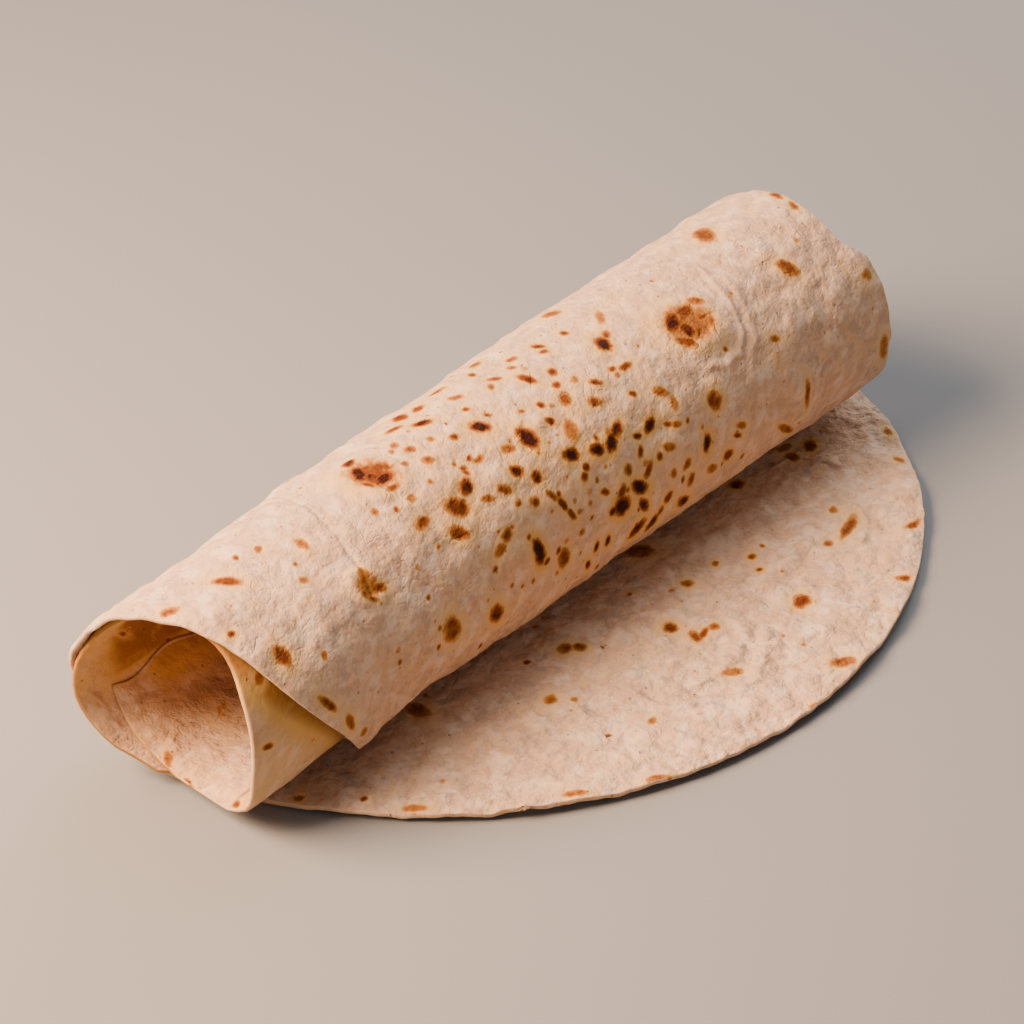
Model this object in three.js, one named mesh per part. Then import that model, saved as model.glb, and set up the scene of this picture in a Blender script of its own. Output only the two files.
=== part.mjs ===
// A soft sheet of lavash, rolled up from one end, with the other, round end still flat.
//
// Millimetres, +Z up. +X runs along the roll, from the open end that shows its turns to the
// far end. The flat flap lies towards -Y. The origin is under the middle of the whole, on
// the surface that it rests on.
//
// The sheet is one solid. A place on it is given by how far it has been rolled and by its
// place along the roll. The flap is a piece of a round, and the turns are a spiral that
// winds round a slightly tapered roll: under it, up its back, over the top and down the
// front, each turn a little tighter than the one before.
import * as THREE from "three";

// ---- The dough ----
const THICKNESS = 2.1;
const RIM_ROUNDING = 0.7; // how far the baked rim's round edge reaches in on each face

// ---- The roll, measured to the middle of the sheet ----
const ROLL_RADIUS = 32.8; // at PLACE 0, which is where the flap's near corner leaves the roll
const ROLL_FLARE = 0.0226; // growth of the radius for each millimetre towards the far end
const ROLL_OFFSET = 15.1; // from the flap's visible edge back to the roll's lowest line
const OFFSET_DRIFT = 0.017;
const TURN_STEP = 2.76; // how much nearer the middle each turn lies
const SAG_POWER = 2.3; // 2 is a round section, and more is flatter underneath
const LAST_TURN = 798; // degrees wound, where the inner end of the sheet lies

// ---- The flap ----
const FLAP_RADIUS = 150;
const FLAP_MIDDLE = 138.7; // place along the roll of the round's middle
const FLAP_DEPTH = 59.9; // how far the round's middle lies behind the flap's visible edge
const FLAP_CORNER = 38; // degrees from the tip where the grid turns its corner

// ---- The two long edges: degrees wound, and place along the roll ----
const FLAP_TURN_COS = (FLAP_DEPTH - ROLL_OFFSET) / FLAP_RADIUS;
const FLAP_REACH = FLAP_RADIUS * Math.sqrt(1 - FLAP_TURN_COS ** 2);
const NEAR_EDGE = [
  [0, FLAP_MIDDLE - FLAP_REACH],
  [17, -8.7],
  [49, -15.8],
  [85, -21.4],
  [106, -24.3],
  [127, -22.2],
  [145, -18.6],
  [165, -16.6],
  [204, -9.6],
  [243, -0.6],
  [268, 9],
  [311, 27.3],
  [330, 31],
  [352, 18],
  [377, -10],
  [395, -15],
  [409, -19.2],
  [445, -24.8],
  [466, -23.8],
  [487, -19.6],
  [505, -15.4],
  [525, -12],
  [570, -8.8],
  [598, -11.4],
  [626, -12.3],
  [655, -12],
  [684, -11],
  [720, -11],
  [750, -11.6],
  [LAST_TURN, -13],
];
const FAR_EDGE = [
  [0, FLAP_MIDDLE + FLAP_REACH],
  [80, 272],
  [133, 256],
  [165, 254.6],
  [215, 254.6],
  [230, 260.2],
  [260, 263.4],
  [285, 266.6],
  [320, 268.5],
  [400, 258],
  [480, 247],
  [560, 245],
  [700, 250],
  [LAST_TURN, 243],
];

// ---- Swellings of the layers: middle in degrees and place, half widths, height ----
// These return on every turn, so that the layers stay nested.
const NESTED_SWELLINGS = [
  { turn: 324, place: -10, wide: 25, long: 42, high: 4.4 }, // the pointed foot of the mouth
  { turn: 140, place: 75, wide: 50, long: 80, high: 1.3 },
  { turn: 140, place: 228, wide: 46, long: 30, high: -0.8 },
];
// These are only on the outer layer.
const OUTER_SWELLINGS = [
  { turn: 303, place: 24, wide: 20, long: 20, high: 1.9 }, // lifted corner
  { turn: 207, place: 185, wide: 18, long: 11, high: 1.4 }, // the two large blisters
  { turn: 177, place: 66, wide: 14, long: 9, high: 1 },
];
const EDGE_LIFT = { from: 205, to: 325, high: 1.4, reach: 14 }; // outer layer's near edge
// Where the second turn's near edge is pressed against the outer layer.
const PRESSED = { turn: 500, wide: 60, high: 0.4, reach: 14 };
const WAVES = [
  // waves a turn, radians a millimetre along the roll
  { across: 2, along: 0.021, phase: 0.4, high: 0.3 },
  { across: 3, along: -0.043, phase: 1.9, high: 0.3 },
  { across: 5, along: 0.078, phase: 4.1, high: 0.2 },
];
const RESTING = 30; // degrees each side of the lowest line where the layers are pressed flat
const FLAP_LIFTS = [
  // parts of the flap's rim that stand off the table: angle round the flap, height, reach in
  { at: -30, wide: 13, high: 0.8, reach: 16 },
  { at: 9, wide: 12, high: 0.9, reach: 18 },
  { at: 46, wide: 11, high: 0.8, reach: 16 },
];

// ---- How finely the sheet is divided ----
const FLAP_ROWS = 14;
const DEGREES_A_ROW = 10;
const COLUMNS = 27;

const radians = THREE.MathUtils.degToRad;
const bell = (x) => Math.exp(-x * x);

// A smooth curve through [position, value] pairs, evaluated at one position.
function through(knots, at) {
  const x = THREE.MathUtils.clamp(at, knots[0][0], knots.at(-1)[0]);
  const slope = (k) => {
    const before = knots[Math.max(k - 1, 0)];
    const after = knots[Math.min(k + 1, knots.length - 1)];
    return (after[1] - before[1]) / (after[0] - before[0]);
  };
  let k = knots.findIndex((knot) => knot[0] >= x) - 1;
  k = Math.max(k, 0);
  const span = knots[k + 1][0] - knots[k][0];
  const t = (x - knots[k][0]) / span;
  const start = knots[k][1];
  const rise = knots[k + 1][1] - start;
  const a = slope(k) * span - rise;
  const b = rise - slope(k + 1) * span;
  return start + rise * t + t * (1 - t) * (a * (1 - t) + b * t);
}

// Radius of the middle of the sheet, after that many degrees of winding.
function windingRadius(turn, place) {
  const low = Math.cos(radians(turn));
  const side = Math.abs(Math.sin(radians(turn)));
  const sag = low > 0 ? (low ** SAG_POWER + side ** SAG_POWER) ** (-1 / SAG_POWER) : 1;
  return (ROLL_RADIUS + ROLL_FLARE * place - (TURN_STEP * turn) / 360) * sag;
}

// What stands proud of the plain spiral.
function swelling(turn, place) {
  const round = turn % 360;
  const apart = (a, b) => Math.abs(((a - b + 540) % 360) - 180);
  let high = 0;
  for (const w of WAVES)
    high += w.high * Math.sin(w.across * radians(turn) + w.along * place + w.phase);
  for (const s of NESTED_SWELLINGS)
    high += s.high * bell(apart(round, s.turn) / s.wide) * bell((place - s.place) / s.long);
  high *= 1 - bell(apart(round, 0) / RESTING);
  for (const s of OUTER_SWELLINGS)
    high += s.high * bell((turn - s.turn) / s.wide) * bell((place - s.place) / s.long);
  if (turn > EDGE_LIFT.from && turn < EDGE_LIFT.to) {
    const along = (turn - EDGE_LIFT.from) / (EDGE_LIFT.to - EDGE_LIFT.from);
    const inward = (place - through(NEAR_EDGE, turn)) / EDGE_LIFT.reach;
    high += EDGE_LIFT.high * Math.sin(Math.PI * along) * bell(inward);
  }
  const inside = (place - through(NEAR_EDGE, turn)) / PRESSED.reach;
  high += PRESSED.high * bell((turn - PRESSED.turn) / PRESSED.wide) * bell(inside);
  return high;
}

// A point of the rolled part. `side` is 1 on the face that is outside, -1 on the other.
function rolledPoint(turn, across, side) {
  const near = through(NEAR_EDGE, turn);
  const place = near + across * (through(FAR_EDGE, turn) - near);
  const radius = windingRadius(turn, place) + swelling(turn, place) + (side * THICKNESS) / 2;
  const forward = -ROLL_OFFSET - OFFSET_DRIFT * place - radius * Math.sin(radians(turn));
  const middle = ROLL_RADIUS + ROLL_FLARE * place + THICKNESS / 2;
  return new THREE.Vector3(place, -forward, middle - radius * Math.cos(radians(turn)));
}

// A point of the flap's plan: `out` runs from the roll's lowest line to the rim.
function flapPlan(out, across) {
  const onRim = (degrees) => [
    FLAP_MIDDLE + FLAP_RADIUS * Math.sin(radians(degrees)),
    FLAP_RADIUS * Math.cos(radians(degrees)) - FLAP_DEPTH,
  ];
  const widest = THREE.MathUtils.radToDeg(Math.acos(FLAP_TURN_COS));
  const along = THREE.MathUtils.lerp(widest, FLAP_CORNER, out);
  const hinge = (share) => {
    const place = FLAP_MIDDLE + (2 * share - 1) * FLAP_REACH;
    return [place, -ROLL_OFFSET - OFFSET_DRIFT * place];
  };
  const end = onRim((2 * across - 1) * FLAP_CORNER);
  const sides = [onRim(-along), onRim(along)];
  const corners = [hinge(0), hinge(1), onRim(-FLAP_CORNER), onRim(FLAP_CORNER)];
  return [0, 1].map(
    (k) =>
      (1 - out) * hinge(across)[k] +
      out * end[k] +
      (1 - across) * sides[0][k] +
      across * sides[1][k] -
      (1 - out) * ((1 - across) * corners[0][k] + across * corners[1][k]) -
      out * ((1 - across) * corners[2][k] + across * corners[3][k]),
  );
}

// How far the flap stands off the table at a place in its plan.
function flapLift(place, forward) {
  const dx = place - FLAP_MIDDLE;
  const dy = forward + FLAP_DEPTH;
  const angle = THREE.MathUtils.radToDeg(Math.atan2(dx, dy));
  const inward = FLAP_RADIUS - Math.hypot(dx, dy);
  let lift = 0;
  for (const l of FLAP_LIFTS)
    lift += l.high * bell((angle - l.at) / l.wide) * bell(inward / l.reach);
  return lift * THREE.MathUtils.smoothstep(forward, 25, 60);
}

function flapPoint(out, across, side) {
  const [place, forward] = flapPlan(out, across);
  const height = flapLift(place, forward) + ((1 - side) * THICKNESS) / 2;
  return new THREE.Vector3(place, -forward, height);
}

// ---- The stations of the grid: rows from the flap's rim to the sheet's inner end ----
const inset = RIM_ROUNDING / (FLAP_REACH * 2);
const stations = [];
for (let i = 0; i < FLAP_ROWS; i++) {
  const out = 1 - i / FLAP_ROWS;
  const face = i === 0 ? 1 - RIM_ROUNDING / (FLAP_RADIUS - FLAP_DEPTH + ROLL_OFFSET) : out;
  stations.push({
    face: (across, side) => flapPoint(face, across, side),
    rim: (across) => flapPoint(out, across, 0),
  });
}
for (let turn = 0; turn < LAST_TURN; turn += DEGREES_A_ROW)
  stations.push({
    face: (across, side) => rolledPoint(turn, across, side),
    rim: (across) => rolledPoint(turn, across, 0),
  });
const lastInset = THREE.MathUtils.radToDeg(RIM_ROUNDING / windingRadius(LAST_TURN, 0));
stations.push({
  face: (across, side) => rolledPoint(LAST_TURN - lastInset, across, side),
  rim: (across) => rolledPoint(LAST_TURN, across, 0),
});

// Columns lie closer together towards the two long edges.
const columns = [];
for (let j = 0; j < COLUMNS; j++) {
  const even = j / (COLUMNS - 1);
  columns.push(even - (0.35 * Math.sin(2 * Math.PI * even)) / (2 * Math.PI));
}

// ---- One closed surface: the outer face, the inner face and the rim between them ----
function sheetGeometry() {
  const points = [];
  const triangles = [];
  const add = (point) => points.push(point) - 1;
  const edge = (share) => THREE.MathUtils.clamp(share, inset, 1 - inset);
  const faces = [1, -1].map((side) =>
    stations.map((station) => columns.map((c) => add(station.face(edge(c), side)))),
  );
  const quad = (a, b, c, d) => triangles.push(a, c, b, a, d, c);
  for (let i = 1; i < stations.length; i++)
    for (let j = 1; j < columns.length; j++) {
      const [outer, inner] = faces;
      quad(outer[i - 1][j - 1], outer[i - 1][j], outer[i][j], outer[i][j - 1]);
      quad(inner[i - 1][j - 1], inner[i][j - 1], inner[i][j], inner[i - 1][j]);
    }
  const last = [stations.length - 1, columns.length - 1];
  const loop = [];
  for (let j = 0; j < last[1]; j++) loop.push([0, j]);
  for (let i = 0; i < last[0]; i++) loop.push([i, last[1]]);
  for (let j = last[1]; j > 0; j--) loop.push([last[0], j]);
  for (let i = last[0]; i > 0; i--) loop.push([i, 0]);
  const rim = loop.map(([i, j]) => add(stations[i].rim(columns[j])));
  loop.forEach(([i, j], k) => {
    const next = (k + 1) % loop.length;
    const [m, n] = loop[next];
    quad(faces[0][m][n], faces[0][i][j], rim[k], rim[next]);
    quad(rim[next], rim[k], faces[1][i][j], faces[1][m][n]);
  });
  const geometry = new THREE.BufferGeometry().setFromPoints(points);
  geometry.setIndex(triangles);
  geometry.computeVertexNormals();
  return geometry;
}

const bread = new THREE.MeshStandardMaterial({ color: 0xe6cfb4, roughness: 0.85, metalness: 0 });

const geometry = sheetGeometry();
geometry.computeBoundingBox();
const box = geometry.boundingBox;
const under = box.getCenter(new THREE.Vector3()).setZ(box.min.z);
geometry.translate(-under.x, -under.y, -under.z);

const sheet = new THREE.Mesh(geometry, bread);
sheet.name = "lavash";

const part = new THREE.Group();
part.add(sheet);

export default part;
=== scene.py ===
# %% [markdown]
# # A rolled sheet of lavash
#
# Lavash is a soft flatbread: one thin sheet of dough, baked in a minute or two against a
# hot wall, so it comes out pale, dimpled and freckled with toasted spots. Here one sheet
# has been rolled up from one end, and its other, round end still lies flat in front of
# the roll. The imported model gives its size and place. This script gives it its looks: a
# finely modelled sheet with a rounded rim, bumps and creases, and a baked crust.

import math
import random

import bpy
import numpy as np
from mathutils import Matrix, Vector
from mathutils.bvhtree import BVHTree
from mathutils.geometry import barycentric_transform


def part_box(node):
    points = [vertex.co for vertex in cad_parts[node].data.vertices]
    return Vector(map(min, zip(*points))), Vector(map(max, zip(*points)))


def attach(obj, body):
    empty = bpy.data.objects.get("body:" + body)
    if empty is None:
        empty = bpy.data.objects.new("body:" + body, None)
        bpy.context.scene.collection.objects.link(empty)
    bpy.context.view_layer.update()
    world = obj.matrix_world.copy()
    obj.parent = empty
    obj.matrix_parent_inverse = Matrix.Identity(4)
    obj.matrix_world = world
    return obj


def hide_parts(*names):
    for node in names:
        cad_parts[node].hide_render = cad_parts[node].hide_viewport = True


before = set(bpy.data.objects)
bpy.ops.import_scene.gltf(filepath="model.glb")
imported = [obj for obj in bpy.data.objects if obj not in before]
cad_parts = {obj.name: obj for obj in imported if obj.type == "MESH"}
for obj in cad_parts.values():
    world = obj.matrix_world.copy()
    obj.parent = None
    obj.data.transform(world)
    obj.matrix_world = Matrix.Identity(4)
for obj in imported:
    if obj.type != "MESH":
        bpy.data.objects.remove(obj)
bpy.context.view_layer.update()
low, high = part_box("lavash")
MM = 0.001
print("the bread is", [round((b - a) / MM) for a, b in zip(low, high)], "mm")

# %% [markdown]
# ## The sheet's own measurements
#
# Everything about the roll follows from a few sizes: how wide the round end is, how thick
# the roll is, and how much closer to the middle each turn lies. A place on the sheet is
# named by how far it is wound, in degrees, and by how far along the roll it is, in
# millimetres. The imported model was made from nearly the same sizes, so the fine sheet
# follows the plain one closely. The knots of the two long edges began as a fit to the
# edges in a photograph and were then moved. The hidden ones are chosen.

# %% Sizes, in millimetres and degrees
THICKNESS = 2.1
ROLL_RADIUS = 32.8
ROLL_FLARE = 0.0226
ROLL_OFFSET = 15.1
OFFSET_DRIFT = 0.017
TURN_STEP = 2.76
SAG_POWER = 2.3
LAST_TURN = 798
OUTER_END = 345  # where the outer turn slides under itself
LINING_START = 690  # where the innermost layer begins

FLAP_RADIUS = 150
FLAP_MIDDLE = 138.7
FLAP_DEPTH = 59.9
FLAP_CORNER = 38
HINGE_COS = (FLAP_DEPTH - ROLL_OFFSET) / FLAP_RADIUS
FLAP_REACH = FLAP_RADIUS * math.sqrt(1 - HINGE_COS**2)

# The row frame's origin is under the middle of the whole, so places are shifted to it.
FRAME_X = high[0] / MM - (FLAP_MIDDLE + FLAP_REACH)
FRAME_Y = low[1] / MM + (FLAP_RADIUS - FLAP_DEPTH)
print("the frame lies", round(FRAME_X, 1), "and", round(FRAME_Y, 1), "mm from the sheet's zero")

# %% The two long edges: degrees wound, and place along the roll
NEAR_EDGE = [
    (0, FLAP_MIDDLE - FLAP_REACH), (17, -8.7), (49, -15.8), (85, -21.4), (106, -24.3), (127, -22.2),
    (145, -18.6), (165, -16.6), (204, -9.6), (243, -0.6), (268, 9), (311, 27.3), (330, 31),
    (352, 18), (377, -10), (395, -15), (409, -19.2), (445, -24.8), (466, -23.8), (487, -19.6),
    (505, -15.4), (525, -12), (570, -8.8), (598, -11.4), (626, -12.3), (655, -12), (684, -11),
    (720, -11), (750, -11.6), (LAST_TURN, -13),
]
FAR_EDGE = [
    (0, FLAP_MIDDLE + FLAP_REACH), (80, 272), (133, 256), (165, 254.6), (215, 254.6),
    (230, 260.2), (260, 263.4), (285, 266.6), (320, 268.5), (400, 258), (480, 247),
    (560, 245), (700, 250), (LAST_TURN, 243),
]


def through(knots, at):
    """A smooth curve through the knots, read at every value of at."""
    x, y = np.array(knots, float).T
    slope = np.empty_like(y)
    slope[1:-1] = (y[2:] - y[:-2]) / (x[2:] - x[:-2])
    slope[0] = (y[1] - y[0]) / (x[1] - x[0])
    slope[-1] = (y[-1] - y[-2]) / (x[-1] - x[-2])
    at = np.clip(at, x[0], x[-1])
    k = np.clip(np.searchsorted(x, at) - 1, 0, len(x) - 2)
    span = x[k + 1] - x[k]
    t = (at - x[k]) / span
    rise = y[k + 1] - y[k]
    a = slope[k] * span - rise
    b = rise - slope[k + 1] * span
    return y[k] + rise * t + t * (1 - t) * (a * (1 - t) + b * t)


print("the mouth is cut back to", through(NEAR_EDGE, 311).round(1), "mm at the front corner")

# %% [markdown]
# ## Rolling the sheet up
#
# A spiral could be drawn as a curve and lofted, but a real roll isn't even: it flares, it
# sags where it rests, and its layers swell in places. A formula that answers "where is
# this place of the sheet" can hold all of that, so the sheet is made flat and every
# point of it is then carried to its place on the roll.

# %% The shape of the roll
NESTED_SWELLINGS = [
    # middle in degrees and along the roll, half widths, height; alike in every turn
    (324, -10, 25, 42, 4.4),
    (140, 75, 50, 80, 1.3),
    (140, 228, 46, 30, -0.8),
]
OUTER_SWELLINGS = [
    # the same, on the outer layer alone
    (303, 24, 20, 20, 1.9),
    (207, 185, 18, 11, 1.4),
    (177, 66, 14, 9, 1.0),
]
WAVES = [(2, 0.021, 0.4, 0.3), (3, -0.043, 1.9, 0.3), (5, 0.078, 4.1, 0.2)]
EDGE_LIFT_FROM, EDGE_LIFT_TO, EDGE_LIFT, EDGE_LIFT_REACH = 205, 325, 1.5, 14
PRESSED, PRESSED_AT, PRESSED_WIDE, PRESSED_REACH = 0.8, 500, 60, 14
RESTING = 30  # half width in degrees of the underside, which doesn't swell


def bell(x):
    """1 at zero, falling smoothly away on both sides."""
    return np.exp(-x * x)


def apart(a, b):
    """How many degrees lie between two directions."""
    return np.abs((a - b + 540) % 360 - 180)


def from_rim(turn, place):
    """How far a place lies inside the near edge."""
    return place - through(NEAR_EDGE, turn)


def swelling(turn, place):
    """How far the layer stands proud of the plain spiral, in millimetres."""
    height = sum(
        high * np.sin(across * np.radians(turn) + along * place + phase)
        for across, along, phase, high in WAVES
    )
    for middle, along, wide, long, high in NESTED_SWELLINGS:
        height += high * bell(apart(turn, middle) / wide) * bell((place - along) / long)
    height *= 1 - bell(apart(turn, 0) / RESTING)
    for middle, along, wide, long, high in OUTER_SWELLINGS:
        height += high * bell((turn - middle) / wide) * bell((place - along) / long)
    share = (turn - EDGE_LIFT_FROM) / (EDGE_LIFT_TO - EDGE_LIFT_FROM)
    inside = from_rim(turn, place)
    lifted = EDGE_LIFT * np.sin(math.pi * np.clip(share, 0, 1)) * bell(inside / EDGE_LIFT_REACH)
    pressed = PRESSED * bell((turn - PRESSED_AT) / PRESSED_WIDE) * bell(inside / PRESSED_REACH)
    return height + lifted + pressed


def winding_radius(turn, place):
    """Distance from the roll's axis to the middle of the sheet."""
    lowness = np.maximum(np.cos(np.radians(turn)), 0)
    side = np.abs(np.sin(np.radians(turn)))
    sag = np.where(
        lowness > 0, (lowness**SAG_POWER + side**SAG_POWER) ** (-1 / SAG_POWER), 1
    )
    return (ROLL_RADIUS + ROLL_FLARE * place - TURN_STEP * turn / 360) * sag


def rolled(turn, across):
    """Where a place of the rolled part lies, and its place along the roll."""
    near = through(NEAR_EDGE, turn)
    place = near + across * (through(FAR_EDGE, turn) - near)
    radius = winding_radius(turn, place) + swelling(turn, place)
    forward = -ROLL_OFFSET - OFFSET_DRIFT * place - radius * np.sin(np.radians(turn))
    axis_height = ROLL_RADIUS + ROLL_FLARE * place + THICKNESS / 2
    return place, forward, axis_height - radius * np.cos(np.radians(turn))


print("the roll is", round(2 * float(winding_radius(180, 0)) + THICKNESS), "mm thick near its mouth")

# %% The shape of the flap
FLAP_LIFTS = [(-30, 13, 0.8, 16), (9, 12, 0.9, 18), (46, 11, 0.8, 16)]


def on_rim(degrees):
    """A point of the round rim, by its angle from the flap's tip."""
    angle = np.radians(degrees)
    return np.stack([
        FLAP_MIDDLE + FLAP_RADIUS * np.sin(angle),
        FLAP_RADIUS * np.cos(angle) - FLAP_DEPTH,
    ])


def hinge(share):
    """A point of the line where the flap leaves the roll."""
    place = FLAP_MIDDLE + (2 * share - 1) * FLAP_REACH
    return np.stack([place, -ROLL_OFFSET - OFFSET_DRIFT * place])


def flap_plan(out, across):
    """The flap seen from above: out is 0 at the roll and 1 at the tip."""
    corner = np.full_like(out, FLAP_CORNER)
    widest = math.degrees(math.acos(HINGE_COS))
    along = widest + (FLAP_CORNER - widest) * out
    zero, one = np.zeros_like(out), np.ones_like(out)
    straight = (1 - out) * hinge(across) + out * on_rim((2 * across - 1) * FLAP_CORNER)
    sides = (1 - across) * on_rim(-along) + across * on_rim(along)
    back = (1 - across) * hinge(zero) + across * hinge(one)
    front = (1 - across) * on_rim(-corner) + across * on_rim(corner)
    return straight + sides - (1 - out) * back - out * front


def smooth_step(x, start, end):
    """0 before start, 1 after end, and smooth between them."""
    t = np.clip((x - start) / (end - start), 0, 1)
    return t * t * (3 - 2 * t)


def flap(out, across):
    """Where a place of the flap lies: along the roll, forward, and up."""
    place, forward = flap_plan(out, across)
    dx, dy = place - FLAP_MIDDLE, forward + FLAP_DEPTH
    angle = np.degrees(np.arctan2(dx, dy))
    inward = FLAP_RADIUS - np.hypot(dx, dy)
    lift = sum(
        high * bell((angle - at) / wide) * bell(inward / reach)
        for at, wide, high, reach in FLAP_LIFTS
    )
    return place, forward, THICKNESS / 2 + lift * smooth_step(forward, 25, 60)


print("the flap is", round(2 * FLAP_REACH), "mm wide where it leaves the roll")

# %% [markdown]
# ## The flat sheet
#
# A grid primitive is the natural start for a sheet: its columns will run along the roll
# and its rows from the flap's tip to the inner end. The rows lie closest together on the
# outer turn and the flap, where the eye sees every dimple, and wider apart on the turns
# that are hidden inside.

# %% Add the grid
COLUMNS = 164
FLAP_ROWS = 70
BACK_ROWS = 34  # the outer turn up to where it comes into view
OUTER_ROWS = 100
INNER_ROWS = 58
BACK_TURN = 105
END_RIPPLE, END_RIPPLES = -4, 9  # the inner end isn't quite straight
ROWS = FLAP_ROWS + BACK_ROWS + OUTER_ROWS + INNER_ROWS


def deselect_all():
    """Nothing stays selected, so the next operator acts only on what it is given."""
    for other in bpy.context.selected_objects:
        other.select_set(False)


def make_active(piece):
    """The piece alone is selected and active."""
    deselect_all()
    piece.select_set(True)
    bpy.context.view_layer.objects.active = piece


deselect_all()
bpy.ops.mesh.primitive_grid_add(x_subdivisions=COLUMNS, y_subdivisions=ROWS, size=1)
bread = bpy.context.object
bread.name = "lavash_sheet"
bread.data.name = "lavash_sheet"
print("the flat grid has", len(bread.data.vertices), "points")

# %% Carry every point to its place
flat = np.empty(len(bread.data.vertices) * 3)
bread.data.vertices.foreach_get("co", flat)
flat = flat.reshape(-1, 3)
even = np.clip(flat[:, 0] + 0.5, 0, 1)
across = even - 0.25 * np.sin(2 * math.pi * even) / (2 * math.pi)
row = (flat[:, 1] + 0.5) * ROWS
row_marks = np.cumsum([0, FLAP_ROWS, BACK_ROWS, OUTER_ROWS, INNER_ROWS])
winding = np.interp(row, row_marks, [-1, 0, BACK_TURN, 360, LAST_TURN])
ripple = END_RIPPLE * np.sin(2 * math.pi * across * END_RIPPLES) * (1 - across) ** 2
winding += ripple * smooth_step(winding, 700, LAST_TURN)
is_flap = winding < 0
turn = np.maximum(winding, 0)
out = np.maximum(-winding, 0)

place, forward, height = np.where(is_flap, flap(out, across), rolled(turn, across))
points = np.stack([place + FRAME_X, FRAME_Y - forward, height], 1) * MM
bread.data.vertices.foreach_set("co", points.ravel())
bread.data.update()

bpy.ops.object.mode_set(mode="EDIT")
bpy.ops.mesh.select_all(action="SELECT")
bpy.ops.mesh.flip_normals()  # the face that ends up outside the roll is the outer one
bpy.ops.object.mode_set(mode="OBJECT")
print("rolled up, the sheet reaches", (points[:, 2].max() / MM).round(1), "mm high")

# %% [markdown]
# ## Finding places on the sheet
#
# The toasted marks and creases of this bread were read from a photograph, as
# pixels. To put each one on the sheet, a ray goes from the camera through the pixel, and
# the place where it meets the bread is kept in the sheet's own unrolled measurements:
# millimetres along the roll and millimetres round it. The camera therefore comes first.
# Its height and distance were worked out from the flap, whose rim is part of a circle.

# %% The camera
CAMERA_ELEVATION = 36
CAMERA_HEADING = 42.2  # degrees from +X to the way that the camera faces, seen from above
LOOK_AT = Vector((149.6 + FRAME_X, FRAME_Y + 40.9, 0)) * MM
CAMERA_DISTANCE = 0.9414
SENSOR_WIDTH = 36
PICTURE = 1024  # pixels across
FOCAL_PIXELS = 3000

elevation, heading = math.radians(CAMERA_ELEVATION), math.radians(CAMERA_HEADING)
facing = Vector((
    math.cos(elevation) * math.cos(heading),
    math.cos(elevation) * math.sin(heading),
    -math.sin(elevation),
))
bpy.ops.object.camera_add(location=LOOK_AT - facing * CAMERA_DISTANCE)
camera = bpy.context.object
camera.name = "camera"
camera.rotation_euler = facing.to_track_quat("-Z", "Y").to_euler()
camera.data.sensor_width = SENSOR_WIDTH
camera.data.lens = SENSOR_WIDTH * FOCAL_PIXELS / PICTURE
camera.data.clip_start = 0.05
bpy.context.scene.camera = camera
print("the lens is", round(camera.data.lens, 1), "mm")

# %% Unrolled measurements of every point
hinge_line = -ROLL_OFFSET - OFFSET_DRIFT * place
mean_radius = ROLL_RADIUS + ROLL_FLARE * place - TURN_STEP * turn / 720
around = np.where(is_flap, hinge_line - forward, mean_radius * np.radians(turn))
unrolled = np.stack([place, around], 1)
print("unrolled, the sheet is", round(float(around.max() - around.min())), "mm long")

# %% Where a pixel falls on the bread
normals = np.empty(len(points) * 3)
bread.data.vertices.foreach_get("normal", normals)
normals = normals.reshape(-1, 3)
half_thickness = normals * (THICKNESS / 2 * MM)
shells = np.concatenate([points + half_thickness, points - half_thickness])
quads = [tuple(face.vertices) for face in bread.data.polygons]
inside_quads = [tuple(v + len(points) for v in quad) for quad in quads]
skin = BVHTree.FromPolygons([tuple(p) for p in shells], quads + inside_quads)
camera_frame = facing.to_track_quat("-Z", "Y").to_matrix()


def seen_at(x, y):
    """The unrolled place under a pixel, and whether it is on the outer face."""
    ray = camera_frame @ Vector((x - PICTURE / 2, PICTURE / 2 - y, -FOCAL_PIXELS))
    spot, _, index, _ = skin.ray_cast(camera.location, ray.normalized())
    if index is None:
        return None, None
    outer = index < len(quads)
    quad = quads[index % len(quads)]
    shell = 0 if outer else len(points)
    best = None
    for corners in ((0, 1, 2), (0, 2, 3)):
        ids = [quad[c] for c in corners]
        at = [Vector(shells[i + shell]) for i in ids]
        to = [Vector((*unrolled[i], 0)) for i in ids]
        middle = (at[0] + at[1] + at[2]) / 3
        away = (spot - middle).length
        if best is None or away < best[0]:
            best = (away, barycentric_transform(spot, *at, *to))
    return np.array(best[1])[:2], outer


print("the middle of the picture falls", seen_at(512, 512)[0].round(), "mm along and round")
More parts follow.
